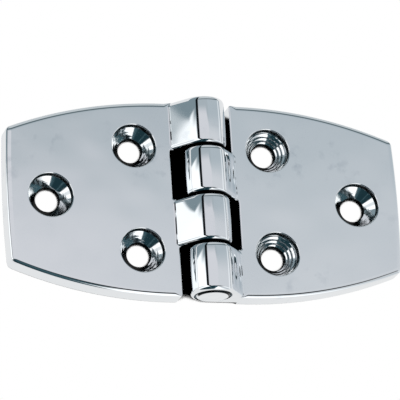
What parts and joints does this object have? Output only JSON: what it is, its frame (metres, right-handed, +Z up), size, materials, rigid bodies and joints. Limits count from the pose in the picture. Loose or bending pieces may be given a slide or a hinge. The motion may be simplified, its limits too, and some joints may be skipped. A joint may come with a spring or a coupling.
{
  "type": "hatch hinge",
  "caption": "Polished cast butt hinge for a hatch: bowed tapering leaves with countersunk screw holes, on a riveted pin through ramped knuckles.",
  "frame": {"origin": "middle of the opened hinge at the height of its flat underside, straight under the middle of the pin", "axes": "+X across the leaves towards the right leaf, +Y along the pin, +Z up from the underside to the countersunk face"},
  "size_m": [0.102, 0.0518, 0.0121],
  "materials": {
    "left_leaf": "mirror polished cast stainless steel",
    "right_leaf": "mirror polished cast stainless steel",
    "hinge_pin": "polished stainless steel, riveted ends"
  },
  "bodies": {
    "left": {"left_leaf": "left_leaf", "hinge_pin": "hinge_pin"},
    "right": {"right_leaf": "right_leaf"}
  },
  "joints": [
    {"name": "hinge_fold", "type": "hinge", "parent": "left", "child": "right", "pos_m": [0, 0, 0.0064], "axis": [0, -1, 0], "range_deg": [-100, 180]}
  ]
}
